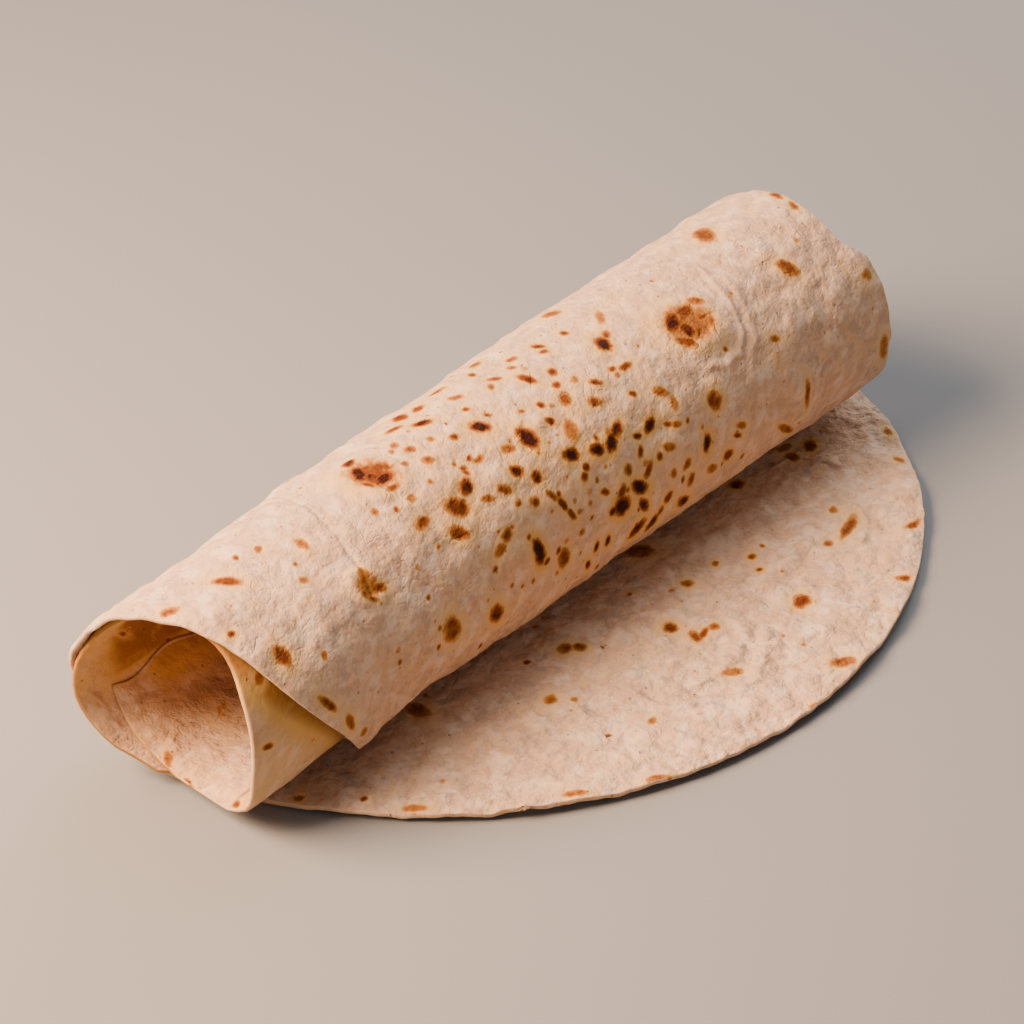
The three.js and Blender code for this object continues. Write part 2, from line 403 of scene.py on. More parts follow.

# %% [markdown]
# ## Toasted marks
#
# Where a bubble in the dough touched the hot wall, it browned or charred. Painting each
# spot as an image would tie the bread to one picture. Here every mark is an ellipse on
# the unrolled sheet, and each face of the mesh is told where it lies on the two nearest
# marks, how large they are and how dark. The material turns this into a ragged brown spot
# with a golden rim. A mark can be much smaller than a face and still be sharp, because
# the place on a mark changes evenly across a face.

# %% Marks read as x, y, length, width and tilt in the picture, and darkness
BLISTERS = [
    (689, 323, 50, 38, 12, 0.34), (372, 475, 52, 29, 8, 0.5), (368, 587, 27, 22, 40, 0.22),
]
BLISTER_MARKS = [
    (672, 322, 22, 16, 80, 0.9), (688, 330, 22, 12, 40, 0.85), (684, 311, 18, 12, -20, 0.65),
    (686, 342, 22, 10, 20, 0.6), (703, 317, 14, 6, -30, 0.65), (699, 333, 15, 5, 90, 0.55),
    (711, 322, 12, 7, 70, 0.4), (695, 303, 16, 6, 10, 0.45),
    (359, 476, 22, 15, 40, 0.9), (384, 479, 22, 12, -12, 1), (371, 478, 16, 12, 0, 0.85),
    (350, 467, 14, 6, -35, 0.85), (381, 467, 26, 8, 12, 0.6), (392, 489, 14, 7, -25, 0.55),
    (368, 487, 18, 6, 5, 0.6),
    (363, 578, 17, 11, 70, 0.42), (378, 588, 16, 11, 10, 0.5), (363, 594, 10, 8, 60, 0.4),
    (371, 599, 14, 6, 10, 0.4),
]
DARK_MARKS = [
    (603, 344, 19, 13, 30, 1), (606, 334, 9, 8, 0, 0.5), (539, 552, 26, 12, 80, 1),
    (528, 438, 28, 15, 45, 1), (480, 427, 22, 12, 10, 1), (465, 487, 18, 14, 90, 0.9),
    (571, 455, 16, 14, 0, 1), (596, 450, 14, 12, 0, 1), (610, 443, 21, 11, 100, 1),
    (616, 430, 18, 11, 110, 0.85), (650, 425, 17, 9, 110, 1), (708, 444, 18, 9, 100, 1),
    (639, 487, 16, 14, 0, 1), (643, 504, 13, 9, 90, 0.85), (622, 506, 21, 15, 110, 1),
    (613, 511, 11, 7, 120, 0.85), (496, 613, 18, 12, 110, 0.8), (328, 704, 20, 8, 40, 0.5),
    (283, 656, 25, 15, 55, 0.6), (537, 477, 13, 10, 60, 0.85), (516, 471, 15, 11, 20, 0.8),
    (422, 424, 22, 6, -15, 0.85), (637, 528, 25, 6, 125, 0.85), (651, 522, 20, 6, 130, 0.85),
    (637, 436, 10, 7, 0, 0.8), (541, 405, 10, 6, 20, 0.85), (595, 383, 11, 6, 10, 0.85),
    (682, 500, 13, 7, 140, 0.85), (597, 547, 11, 4, 110, 0.9), (608, 541, 11, 4, 110, 0.9),
    (351, 722, 17, 8, 75, 0.4), (586, 467, 9, 7, 90, 0.75), (584, 477, 9, 7, 90, 0.75),
    (231, 635, 8, 6, 0, 0.85),
]
BROWN_MARKS = [
    (227, 581, 30, 8, 5, 0.7), (302, 545, 16, 9, 40, 0.4), (258, 549, 9, 6, 0, 0.5),
    (600, 317, 15, 9, 70, 0.3), (704, 236, 22, 12, 0, 0.5), (788, 267, 26, 12, 30, 0.45),
    (451, 629, 24, 18, 100, 0.46), (564, 558, 20, 9, 110, 0.48), (394, 430, 18, 5, -20, 0.65),
    (457, 507, 26, 18, 20, 0.68), (422, 523, 18, 12, -40, 0.55), (459, 533, 20, 13, 20, 0.6),
    (504, 490, 16, 10, 20, 0.5), (479, 459, 13, 7, -30, 0.4), (508, 449, 15, 11, 0, 0.35),
    (428, 461, 12, 7, 0, 0.6), (454, 438, 9, 6, 0, 0.6), (410, 450, 11, 7, 0, 0.5),
    (464, 468, 9, 7, 0, 0.5), (411, 499, 10, 9, 0, 0.3), (506, 535, 15, 10, 110, 0.5),
    (500, 550, 15, 9, 110, 0.35), (565, 399, 17, 11, 70, 0.55), (571, 430, 24, 14, 70, 0.35),
    (594, 402, 13, 10, 0, 0.58), (715, 400, 20, 13, 85, 0.55), (729, 455, 13, 7, 120, 0.6),
    (621, 491, 17, 7, 110, 0.5), (627, 470, 11, 9, 90, 0.5), (649, 470, 20, 6, 110, 0.5),
    (687, 464, 13, 6, 110, 0.5), (691, 479, 15, 6, 115, 0.5), (668, 497, 14, 6, 120, 0.6),
    (552, 496, 14, 7, 40, 0.45), (562, 504, 15, 7, 50, 0.7), (571, 514, 12, 6, 60, 0.6),
    (625, 367, 13, 7, -20, 0.6), (612, 370, 8, 6, 0, 0.6), (807, 393, 26, 5, 95, 0.4),
    (787, 430, 12, 8, 0, 0.4), (884, 347, 24, 9, 100, 0.15), (867, 275, 13, 10, 70, 0.1),
    (774, 339, 9, 7, 0, 0.3), (776, 196, 14, 6, 30, 0.5), (793, 206, 12, 6, 40, 0.45),
    (169, 611, 20, 8, -15, 0.4), (304, 581, 9, 8, 0, 0.3),
]
SMALL_MARKS = [
    (552, 316, 20, 5, -20, 0.4), (564, 334, 10, 4, 0, 0.6), (538, 347, 14, 5, 5, 0.7),
    (544, 352, 10, 4, 0, 0.55), (512, 360, 12, 6, -10, 0.45), (475, 366, 13, 5, -30, 0.45),
    (472, 376, 8, 5, 0, 0.6), (512, 369, 10, 4, 0, 0.5), (552, 373, 10, 7, 20, 0.7),
    (556, 385, 8, 7, 0, 0.7), (574, 380, 8, 7, 0, 0.25), (527, 380, 21, 6, 15, 0.8),
    (494, 380, 16, 4, -5, 0.5), (491, 387, 8, 6, 0, 0.4), (633, 394, 8, 6, 0, 0.7),
    (660, 392, 16, 8, 20, 0.35), (673, 403, 15, 7, 80, 0.3), (550, 421, 11, 7, 20, 0.8),
    (466, 410, 8, 4, 0, 0.7), (487, 414, 8, 4, 0, 0.5), (521, 412, 7, 4, 0, 0.4),
    (400, 418, 16, 5, -15, 0.75), (430, 440, 9, 5, 0, 0.35), (394, 446, 9, 7, 0, 0.3),
    (405, 464, 9, 6, 0, 0.3), (466, 473, 9, 6, 30, 0.6), (641, 452, 13, 6, 90, 0.55),
    (660, 456, 9, 6, 90, 0.6), (669, 447, 13, 9, 0, 0.3), (676, 424, 9, 7, 0, 0.35),
    (668, 424, 8, 6, 0, 0.45), (605, 492, 9, 7, 0, 0.5), (660, 511, 12, 5, 120, 0.45),
    (588, 565, 9, 5, 110, 0.8), (487, 499, 14, 9, 0, 0.3), (517, 504, 6, 6, 0, 0.45),
    (535, 502, 10, 8, 90, 0.5), (674, 473, 10, 6, 100, 0.35), (712, 469, 11, 6, -40, 0.3),
    (737, 435, 7, 5, 0, 0.6), (741, 425, 10, 8, 0, 0.25), (436, 393, 20, 4, -20, 0.5),
    (456, 398, 16, 4, -8, 0.45), (418, 409, 14, 4, -25, 0.6),
]
MOUTH_MARKS = [
    (259, 679, 13, 9, 80, 0.42), (268, 747, 11, 6, -30, 0.55), (236, 803, 9, 6, -45, 0.5),
    (224, 712, 22, 14, 60, -0.15), (213, 724, 12, 8, 20, -0.15), (169, 756, 14, 9, 80, 0.4),
    (197, 786, 14, 8, 20, 0.55), (188, 778, 9, 6, 30, 0.6), (123, 634, 9, 5, 10, 0.4),
]
FLAP_MARKS = [
    (670, 630, 15, 10, 0, 0.8), (695, 640, 14, 9, 40, 0.75), (703, 636, 16, 6, -45, 0.7),
    (714, 630, 10, 6, 0, 0.6), (565, 652, 14, 11, 0, 0.6), (580, 651, 14, 9, 0, 0.6),
    (802, 604, 17, 11, 10, 0.85), (848, 530, 26, 10, 120, 0.6), (833, 514, 8, 6, 0, 0.4),
    (828, 546, 10, 7, 0, 0.45), (843, 664, 27, 12, -5, 0.5), (733, 675, 20, 8, -5, 0.45),
    (551, 704, 13, 11, 0, 0.5), (574, 703, 8, 6, 0, 0.4), (687, 586, 14, 6, 10, 0.5),
    (752, 560, 8, 5, 0, 0.7), (760, 572, 7, 4, 0, 0.8), (715, 567, 6, 5, 0, 0.6),
    (912, 528, 18, 7, -30, 0.6), (903, 581, 14, 5, 0, 0.7), (815, 708, 12, 5, -10, 0.5),
    (575, 797, 24, 7, -5, 0.45), (416, 811, 24, 6, 0, 0.4), (658, 781, 22, 6, -10, 0.4),
    (652, 724, 9, 7, -30, 0.4), (299, 799, 10, 6, 0, 0.4), (314, 809, 10, 5, 0, 0.4),
    (419, 712, 26, 15, 30, 0.38), (640, 552, 27, 14, 0, 0.42), (737, 485, 14, 9, 0, 0.7),
    (810, 447, 13, 11, 0, 0.85), (793, 458, 14, 9, 20, 0.6), (784, 448, 16, 7, -20, 0.4),
    (898, 462, 12, 6, 20, 0.5), (888, 435, 10, 6, 40, 0.4),
]
FLAP_PALER = 0.78  # as read, the flap's marks came out too dark by one and the same share
SEEN_MARKS = BLISTERS + BLISTER_MARKS + DARK_MARKS + BROWN_MARKS + SMALL_MARKS + MOUTH_MARKS
SEEN_MARKS += [(*place, round(dark * FLAP_PALER, 2)) for *place, dark in FLAP_MARKS]
print("marks read by eye:", len(SEEN_MARKS))


# %% Put the marks on the sheet
LONGEST_STEP = 20  # millimetres: a longer step has crossed to another layer
UNSEEN_STEP = 0.3  # millimetres for each pixel, where neither end of an axis is seen


def half_axis(x, y, reach, tilt, outer, middle):
    """One half axis of a mark, as a step on the unrolled sheet."""
    step = np.array([math.cos(math.radians(tilt)), math.sin(math.radians(tilt))]) * reach
    for sign in (1, -1):
        end, same = seen_at(x + sign * step[0], y + sign * step[1])
        if end is not None and same == outer and np.hypot(*(end - middle)) < LONGEST_STEP:
            return sign * (end - middle)
    return np.array([reach, 0]) * UNSEEN_STEP


def mark_seen(x, y, long, wide, tilt, dark):
    """A mark on the unrolled sheet: middle, two half axes, darkness, and its face."""
    middle, outer = seen_at(x, y)
    axes = [half_axis(x, y, long / 2, tilt, outer, middle),
            half_axis(x, y, wide / 2, tilt + 90, outer, middle)]
    return middle, np.array(axes).T, dark, outer


marks = [mark_seen(*values) for values in SEEN_MARKS if seen_at(*values[:2])[0] is not None]
print(len(marks), "of", len(SEEN_MARKS), "marks found the bread;",
      sum(not m[3] for m in marks), "lie on its inner face")

# %% [markdown]
# The photograph doesn't show the roll's back, the flap's underside or the inside of the
# turns. They get marks of the same kinds, drawn at random with a fixed seed, and crowded
# together in a band round the middle of the roll, as on the side that is seen.

# %% Marks on the sides that aren't seen
draw = random.Random(11)


def scattered(count, outer, along, round_it, crowd=None):
    """Random marks on one face, between two places along and two places round it."""
    made = []
    for _ in range(count):
        where = draw.gauss(*crowd) if crowd and draw.random() < 0.65 else draw.uniform(*along)
        middle = np.array([min(max(where, along[0]), along[1]), draw.uniform(*round_it)])
        long = draw.choice((0.9, 1.2, 1.6, 2.2, 3.4))
        wide = long * draw.uniform(0.45, 0.9)
        lean = draw.uniform(0, math.pi)
        axes = np.array([[long * math.cos(lean), -wide * math.sin(lean)],
                         [long * math.sin(lean), wide * math.cos(lean)]])
        made.append((middle, axes, draw.choice((0.35, 0.5, 0.6, 0.8, 0.95)), outer))
    return made


BACK_FROM, BACK_TO = 8, 72  # millimetres round, on the outer turn behind the roll
CROWD = (115, 38)  # where most marks lie along the roll, and how widely
marks += scattered(75, True, (-5, 255), (BACK_FROM, BACK_TO), CROWD)
marks += scattered(45, True, (20, 250), (-100, -6))
marks += scattered(40, False, (-5, 250), (0, 190), CROWD)
marks += scattered(30, False, (15, 240), (210, 450), CROWD)
marks.append((np.array([190, 40]), np.array([[7, 0], [0, 4.5]]), 0.8, True))
marks.append((np.array([48, 55]), np.array([[5, 1], [1, 4]]), 0.6, True))
print("marks in all:", len(marks))


# %% Tell every face about the marks nearest to it
corners = np.empty(len(bread.data.loops), int)
bread.data.loops.foreach_get("vertex_index", corners)
face_middles = unrolled[corners].reshape(-1, 4, 2).mean(1)


def inside_mark(mark, at):
    """How many millimetres inside a mark's edge each place lies."""
    middle, axes = mark[:2]
    inverse = np.linalg.inv(axes)
    local = (at - middle) @ inverse.T
    share = np.maximum(np.hypot(*local.T), 1e-6)
    steepness = np.hypot(*((local / share[:, None]) @ inverse).T)
    return (1 - share) / steepness


def mark_size(axes):
    """One length in millimetres that stands for a mark's half width."""
    lengths = np.hypot(*axes)
    return min(math.sqrt(lengths[0] * lengths[1]), 1.6 * lengths.min())


for name, outer in (("outer_mark", True), ("inner_mark", False)):
    own = [mark for mark in marks if mark[3] == outer]
    depths = np.array([inside_mark(mark, face_middles) for mark in own])
    ranked = np.argsort(-depths, 0)[:2]
    middles = np.array([mark[0] for mark in own])
    inverses = np.array([np.linalg.inv(mark[1]) for mark in own])
    reaches = np.array([mark_size(mark[1]) for mark in own])
    darks = np.array([mark[2] for mark in own], float)
    for number, nearest in enumerate(ranked):
        which = np.repeat(nearest, 4)
        local = np.einsum("nij,nj->ni", inverses[which], unrolled[corners] - middles[which])
        reach = reaches[which][:, None]
        values = np.hstack([local * reach, reach, darks[which][:, None]])
        layer = bread.data.attributes.new(f"{name}_{number}", "FLOAT_COLOR", "CORNER")
        layer.data.foreach_set("color", values.ravel())
    print(name + "s cover", round(100 * float((depths.max(0) > 0).mean()), 1), "percent of the faces")

# %% Where the bread is freckled, where it is warm, and where glow and shade are painted in
INNER_GLOW_AND_SHADE = [  # degrees wound, and the inner face's mask there: a warm tint, rising into painted glow and painted shade in the mouth
    (0, 0.2), (90, 0.4), (400, 0.3), (425, 0.55), (455, 0.72), (475, 0.8), (660, 0.85),
]
# the outer face: a warm tint under the flap and on the outer turn; on the turns inside it a painted
# glow, and painted shadow beside the outer turn's overlapping edge
FLAP_GOLD, OUTER_GOLD, FOLD_GLOW, UNDER_EDGE_SHADOW = 0.2, 0.12, 0.56, 0.4
crowded = bell((place - 118) / 62) * bell(apart(turn, 245) / 75) * ~is_flap * (turn < OUTER_END)
lining = smooth_step(turn, 752, 796) * smooth_step(place, -14, 6)  # painted glow and painted shade on the innermost turn's back wall
wall = np.interp(turn, *zip(*INNER_GLOW_AND_SHADE))
# further in from the mouth's rim, the painted shade deepens
wall += 0.3 * smooth_step(from_rim(turn, place), 5, 20) * (turn > 440)
under_edge = bell((through(NEAR_EDGE, turn - 360) - place) / 9)  # painted shadow beside the overlapping edge
fold_glow_and_shadow = FOLD_GLOW + UNDER_EDGE_SHADOW * under_edge
on_top = np.where(turn < OUTER_END, OUTER_GOLD + 0.25 * crowded, fold_glow_and_shadow)
# for each face: a warm tint, and on the turns seen in the mouth a painted glow of light through the
# dough with painted shade
face_warmth_glow_and_shade = {
    True: np.where(is_flap, FLAP_GOLD, on_top),
    False: np.where(turn > LINING_START, 0.3 + 0.6 * lining, wall),
}
# the painted glow and shade fade out along the roll, away from the mouth
deep = 1 - smooth_step(place, 60, 120)
face_warmth_glow_and_shade[False] = np.where(is_flap, 0.1, 0.3 + (face_warmth_glow_and_shade[False] - 0.3) * deep)
everywhere = {"outer_warmth_glow_and_shade": face_warmth_glow_and_shade[True], "inner_warmth_glow_and_shade": face_warmth_glow_and_shade[False], "freckled": crowded}
for name, values in everywhere.items():
    bread.data.attributes.new(name, "FLOAT", "POINT")
    bread.data.attributes[name].data.foreach_set("value", values)
crowd_share = 100 * float((crowded > 0.3).mean())
print("the crowd of freckles covers", round(crowd_share, 1), "percent of the points")

# %% [markdown]
# ## Bumps and creases
#
# Lavash is never smooth. Docking and bubbling leave it dimpled all over, big bubbles
# stand up with a raised ring round them, and rolling a cold sheet cracks fine creases
# into it. The large forms are moved in the mesh, because they change the light on the
# bread from every side. The finest grain is left to the material.

# %% Ridges and creases as read: pixels along the line, height and half width in mm
RIDGES = [
    ([(692, 262), (714, 284), (731, 306), (742, 332), (741, 352), (728, 364), (706, 368)], 0.5, 1.3),
    ([(722, 276), (744, 306), (756, 338), (752, 362)], 0.35, 1.4),
    ([(655, 300), (664, 286), (678, 280)], 0.4, 1.3),
    ([(338, 474), (346, 458), (366, 450), (392, 452)], 0.4, 1.2),
    ([(345, 494), (366, 501), (394, 498)], 0.4, 1.2),
    ([(340, 648), (360, 668), (385, 690), (415, 699)], -0.3, 0.8),
    ([(400, 640), (425, 655), (452, 660)], 0.35, 1.4),
    ([(739, 622), (747, 637), (736, 657), (713, 678), (690, 690)], 1.2, 2.2),
    ([(660, 608), (690, 604), (722, 610), (739, 622)], 0.8, 2.0),
    ([(767, 632), (764, 657), (754, 683), (733, 695)], 1.1, 2.0),
    ([(769, 647), (800, 642), (830, 629)], 0.9, 2.0),
    ([(770, 470), (795, 455), (812, 462), (828, 452)], 0.9, 1.1),
    ([(800, 478), (822, 463), (842, 470)], 0.8, 1.1),
    ([(826, 510), (852, 505), (868, 522), (860, 548)], 0.7, 1.1),
    ([(585, 640), (600, 652), (596, 664)], 0.4, 1.2),
    ([(640, 700), (668, 712), (700, 708)], 0.6, 1.3),
    ([(86, 692), (96, 697), (104, 706)], 0.5, 1.2),
    ([(90, 708), (104, 708), (112, 716)], 0.6, 1.2),
    ([(104, 722), (114, 722), (124, 730)], 0.5, 1.2),
    ([(150, 700), (176, 692), (200, 700)], 0.35, 1.6),
    ([(132, 716), (150, 728), (160, 744)], 0.35, 1.4),
]
BROAD_RIDGES = [([(844, 246), (822, 262), (798, 277), (770, 292)], -0.8, 4.5)]
RING_HEIGHT, RING_AT, RING_WIDE = 0.75, 1.25, 0.3  # round a blister, in shares of its size


def beside(start, end, at):
    """Places' distances from a straight line between two places, in mm."""
    line = end - start
    share = np.clip(((at - start) @ line) / (line @ line), 0, 1)
    return np.hypot(*(at - start - share[:, None] * line).T)


relief = np.zeros(len(unrolled))
for line, high_mm, wide_mm in BROAD_RIDGES:
    places = [seen_at(x, y)[0] for x, y in line]
    away = np.min([beside(a, b, unrolled) for a, b in zip(places, places[1:])], 0)
    relief += high_mm * bell(away / wide_mm)
for middle, axes, _, _ in marks[: len(BLISTERS)]:
    share = np.hypot(*((unrolled - middle) @ np.linalg.inv(axes).T).T)
    relief += RING_HEIGHT * bell((share - RING_AT) / RING_WIDE)
print("broad ridges stand up to", round(float(relief.max()), 2), "mm high")

# %% Tell every face about the fine ridge nearest to it, as for the marks
INNER_JOIN = 9  # stands for no end near here, so that a ridge fades only at its own two ends
pieces = []
for line, high_mm, wide_mm in RIDGES:
    places = [seen_at(x, y)[0] for x, y in line]
    for number, (start, end) in enumerate(zip(places, places[1:])):
        ends = (number == 0, number == len(places) - 2)
        pieces.append((start, end, high_mm, wide_mm, ends))
nearest = np.argmin([beside(piece[0], piece[1], face_middles) for piece in pieces], 0)
which = np.repeat(nearest, 4)
starts = np.array([piece[0] for piece in pieces])
lines = np.array([piece[1] - piece[0] for piece in pieces])
lengths = np.hypot(*lines.T)
along_line = lines / lengths[:, None]
offset = unrolled[corners] - starts[which]
along_mm = (offset * along_line[which]).sum(1)
across_mm = (offset * np.stack([-along_line[:, 1], along_line[:, 0]], 1)[which]).sum(1)
first = np.array([piece[4][0] for piece in pieces])
last = np.array([piece[4][1] for piece in pieces])
to_start = np.where(first[which], along_mm, INNER_JOIN)
to_end = np.where(last[which], lengths[which] - along_mm, INNER_JOIN)
heights = np.array([piece[2] for piece in pieces])[which]
widths = np.array([piece[3] for piece in pieces])[which]
layer = bread.data.attributes.new("ridge", "FLOAT_COLOR", "CORNER")
told = np.stack([across_mm / widths, to_start, to_end, heights], 1)
layer.data.foreach_set("color", told.ravel())
print("fine ridges:", len(RIDGES), "in", len(pieces), "straight pieces")

# %% Raise them: outwards on the roll, and upwards on the flap
raised_side = np.where(is_flap, -1, 1)[:, None]
points += normals * raised_side * relief[:, None] * MM
bread.data.vertices.foreach_set("co", points.ravel())
bread.data.update()

loose = 1 - bell(apart(turn, 0) / RESTING)
groups = {
    "open roll": np.where(is_flap, 0, loose * np.where(turn < OUTER_END, 1, 0.3)),
    "flap": np.where(is_flap, smooth_step(forward, 0, 22), 0),
}
for name, weights in groups.items():
    group = bread.vertex_groups.new(name=name)
    for index in np.flatnonzero(weights > 0.01):
        group.add([int(index)], float(weights[index]), "REPLACE")
print("points that may be dimpled:", {g: int((w > 0.01).sum()) for g, w in groups.items()})

# %% Dimple the sheet with cloudy bumps
DIMPLES = [
    # group, width of the bumps in metres, height in metres, level that stays put
    ("open roll", 0.013, 0.0019, 0.45),
    ("open roll", 0.006, 0.0012, 0.45),
    ("flap", 0.013, -0.0024, 0.2),
    ("flap", 0.006, -0.0018, 0.2),
]
make_active(bread)
for number, (group, width, tall, level) in enumerate(DIMPLES):
    clouds = bpy.data.textures.new(f"dimples_{number}", "CLOUDS")
    clouds.noise_scale = width
    clouds.noise_depth = 1
    bpy.ops.object.modifier_add(type="DISPLACE")
    dimple = bread.modifiers[-1]
    dimple.texture = clouds
    dimple.texture_coords = "LOCAL"
    dimple.strength = tall
    dimple.mid_level = level
    dimple.vertex_group = group
    bpy.ops.object.modifier_apply(modifier=dimple.name)
print("lowest point after dimpling:", round(min(v.co.z for v in bread.data.vertices) / MM, 2), "mm")

# %% [markdown]
# ## From a surface to a sheet of dough
#
# Solidify gives the surface its real thickness and closes its rim, and it can give the
# outer face, the inner face and the rim a material slot each. A fresh sheet's rim isn't a
# sharp cut, so a small bevel rounds it.

# %% The unrolled measurements become the sheet's own map
sheet_map = bread.data.uv_layers[0]
sheet_map.name = "sheet"
sheet_map.data.foreach_set("uv", (unrolled[corners] * MM).ravel())
print("the sheet's map:", sheet_map.name)

# %% Thin the dough towards its rim, and most at its inner end
RIM_SHARE, LINING_RIM_SHARE, RIM_REACH = 0.72, 0.5, 5
END_SHARE, END_REACH = 0.3, 13
LEAST_GAP = 0.1  # left between the innermost layer and the one outside it
from_tip = FLAP_RADIUS - np.hypot(place - FLAP_MIDDLE, forward + FLAP_DEPTH)
from_sides = np.minimum(from_rim(turn, place), through(FAR_EDGE, turn) - place)
from_edge = np.where(is_flap, from_tip, from_sides)
from_end = np.radians(LAST_TURN - turn) * mean_radius
rim_share = np.where(turn > LINING_START, LINING_RIM_SHARE, RIM_SHARE)
fullness = (rim_share + (1 - rim_share) * smooth_step(from_edge, 0, RIM_REACH)) * (
    END_SHARE + (1 - END_SHARE) * smooth_step(from_end, 0, END_REACH)
)
body = bread.vertex_groups.new(name="fullness")
for index, share in enumerate(fullness):
    body.add([index], float(share), "REPLACE")

spots = np.empty(len(points) * 3)
bread.data.vertices.foreach_get("co", spots)
outward = (1 - fullness) * (turn > OUTER_END) * THICKNESS / 2
lining_edge = (1 - smooth_step(from_edge, 2, 14)) * (turn > LINING_START)
close = np.maximum(1 - smooth_step(from_end, 4, 30), lining_edge)
outward += close * (TURN_STEP - THICKNESS - LEAST_GAP) * smooth_step(turn, 600, 700)
spots = spots.reshape(-1, 3) + normals * outward[:, None] * MM
bread.data.vertices.foreach_set("co", spots.ravel())
bread.data.update()
print("the thinnest dough is", round(THICKNESS * float(fullness.min()), 2), "mm thick")

# %% Thicken, round and smooth
RIM_ROUND, RIM_SEGMENTS, RIM_ANGLE = 46, 3, 55  # percent of an edge, and degrees
for slot_name in ("crust_outside", "crust_inside", "crust_rim"):
    bread.data.materials.append(bpy.data.materials.new(slot_name))

bpy.ops.object.modifier_add(type="SOLIDIFY")
thicken = bread.modifiers[-1]
thicken.thickness = THICKNESS * MM
thicken.offset = 0
thicken.vertex_group = "fullness"
thicken.material_offset = 1
thicken.material_offset_rim = 2
bpy.ops.object.modifier_apply(modifier=thicken.name)

bpy.ops.object.modifier_add(type="BEVEL")
rounding = bread.modifiers[-1]
rounding.offset_type = "PERCENT"
rounding.width_pct = RIM_ROUND
rounding.segments = RIM_SEGMENTS
rounding.limit_method = "ANGLE"
rounding.angle_limit = math.radians(RIM_ANGLE)
bpy.ops.object.modifier_apply(modifier=rounding.name)
bpy.ops.object.shade_smooth()
bread.vertex_groups.clear()
triangles = sum(len(face.vertices) - 2 for face in bread.data.polygons)
print("the sheet has", triangles, "triangles")

# %% [markdown]
# ## The crust
#
# Baked dough is matt and a little translucent. It is cream, with paler floury patches
# and faint pink ones, and its toasted marks run from gold through brown to nearly black.
# The mottling is noise on the unrolled sheet, and the marks are what each face was told,
# so the pattern turns with the roll as it would on the real bread.

# %% Colours and helpers
def tone(red, green, blue):
    """A colour from its screen values, 0 to 255, as the linear one that shaders use."""
    def linear(value):
        share = value / 255
        return share / 12.92 if share < 0.04045 else ((share + 0.055) / 1.055) ** 2.4
    return (linear(red), linear(green), linear(blue), 1)


CREAM = tone(211, 173, 142)
FLOURY = tone(230, 203, 177)
ROSY = tone(188, 156, 136)
OLIVE = tone(187, 152, 115)
GOLD_CREAM = tone(213, 167, 100)
# painted glow of golden light through the dough, inside the mouth and on the turns under the outer one
PAINTED_GLOW = tone(206, 158, 82)
# painted shade, darkest deep in the mouth and beside the overlapping edge
PAINTED_SHADE = tone(131, 76, 18)
STRAW = tone(194, 139, 78)
GOLDEN = tone(160, 101, 42)
BROWN = tone(110, 54, 15)
CHAR = tone(50, 15, 5)


class Nodes:
    """A short way to write a material's nodes."""

    def __init__(self, material):
        material.use_nodes = True
        self.tree = material.node_tree
        self.shader = self.tree.nodes["Principled BSDF"]

    def add(self, kind, settings=None, **inputs):
        node = self.tree.nodes.new(kind)
        for name, value in (settings or {}).items():
            setattr(node, name, value)
        for name, value in inputs.items():
            self.put(node, name.replace("_", " "), value)
        return node

    def put(self, node, name, value):
        socket = node.inputs[int(name[1:]) if name[0] == "i" and name[1:].isdigit() else name]
        if isinstance(value, bpy.types.NodeSocket):
            self.tree.links.new(value, socket)
        else:
            socket.default_value = value

    def math(self, operation, a, b=0.0, clamp=False):
        settings = {"operation": operation, "use_clamp": clamp}
        return self.add("ShaderNodeMath", settings, i0=a, i1=b).outputs[0]

    def noise(self, where, size, detail=2.0, roughness=0.5):
        """Soft noise whose bumps are about size millimetres wide, from 0 to 1."""
        node = self.add("ShaderNodeTexNoise", None, Vector=where, Scale=1 / size,
                        Detail=detail, Roughness=roughness)
        return node.outputs["Fac"]

    def ramp(self, value, start, end, high=1.0):
        """0 up to start and high from end on, smooth between."""
        node = self.add("ShaderNodeMapRange", {"interpolation_type": "SMOOTHSTEP"},
                        Value=value, From_Min=start, From_Max=end, To_Min=0.0, To_Max=high)
        return node.outputs["Result"]

    def mix(self, share, below, above):
        node = self.add("ShaderNodeMix", {"data_type": "RGBA"}, i0=share, i6=below, i7=above)
        return node.outputs[2]


print("colours from cream to char:", [tuple(round(c, 2) for c in t[:3]) for t in (CREAM, CHAR)])

# %% Sizes of the crust's pattern: heights and widths in millimetres
SOFTNESS, LEAST_SOFTNESS = 0.4, 0.37  # a mark's blurred edge: a share of its size, plus mm
RAGGED = 1.7  # how strongly noise pushes a mark's edge in and out
TOAST, LEAST_TOAST, BLOTCHY = 0.82, 0.19, 0.8  # by a mark's darkness, always, and by noise
HALO = 0.68  # share of gold round a mark of darkness 0.5
FRECKLE_CELLS, PORE_CELLS = 0.2, 0.13  # for each millimetre
LUMPS, DIMPLED, GRAIN, CREASE, WRINKLE, PORE = 1.5, 0.75, 0.18, -0.15, -0.12, 0.3
print("a crease is", -CREASE, "mm deep, and a wrinkle", -WRINKLE, "mm")


